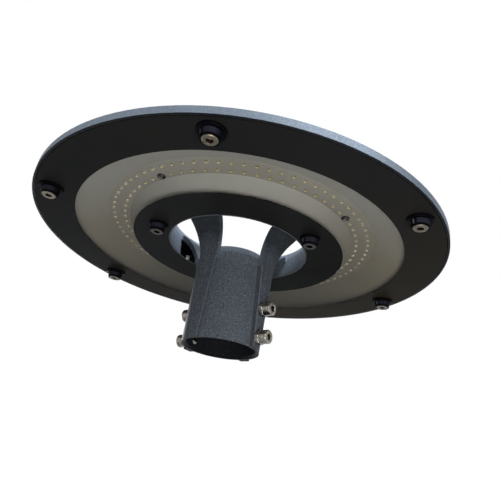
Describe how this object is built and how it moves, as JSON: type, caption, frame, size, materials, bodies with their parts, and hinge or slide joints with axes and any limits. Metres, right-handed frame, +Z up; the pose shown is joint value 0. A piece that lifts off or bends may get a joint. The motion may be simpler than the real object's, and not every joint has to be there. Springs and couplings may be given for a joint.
{
  "type": "post-top park light head",
  "caption": "Flat annular LED park light head on a spigot tube with curved arms, glass facing down round the post.",
  "frame": {"origin": "centre of the spigot's lower end face", "axes": "+Z up along the spigot's axis, away from the post; the four arms stand at 45 degrees to +X and +Y"},
  "size_m": [0.42, 0.42, 0.1351],
  "materials": {
    "casting_paint": "fine-textured matt powder coat, pale blue-grey",
    "clear_glass": "smooth clear toughened glass",
    "black_enamel": "black enamel printed on glass, semi-matt",
    "black_rubber": "matt black rubber",
    "reflector_paint": "matt beige-grey coated sheet",
    "board_resist": "matt pale solder resist",
    "led_phosphor": "yellow phosphor in clear resin, switched off",
    "dark_steel": "blackened steel",
    "driver_case": "matt pale grey moulding",
    "stainless": "stainless steel, smooth",
    "black_plastic": "matt black moulding",
    "pale_plastic": "smooth pale moulding"
  },
  "bodies": {
    "root": {"housing": "casting_paint", "glass_cover": "clear_glass", "outer_print": "black_enamel", "inner_print": "black_enamel", "outer_gasket": "black_rubber", "inner_gasket": "black_rubber", "reflector": "reflector_paint", "led_board": "board_resist", "outer_leds": "led_phosphor", "inner_leds": "led_phosphor", "board_screws": "dark_steel", "driver": "driver_case", "driver_screws": "stainless", "terminal_block": "driver_case", "terminal_screws": "stainless", "gland_body": "black_plastic", "gland_nut": "black_plastic", "gland_plug": "pale_plastic", "gland_locknut": "black_plastic", "outer_cup_seals": "black_rubber", "outer_cup_washers": "black_plastic", "outer_cover_screws": "stainless", "inner_cup_seals": "black_rubber", "inner_cup_washers": "black_plastic", "inner_cover_screws": "stainless", "clamp_nuts": "stainless", "clamp_screws": "stainless"}
  },
  "joints": []
}
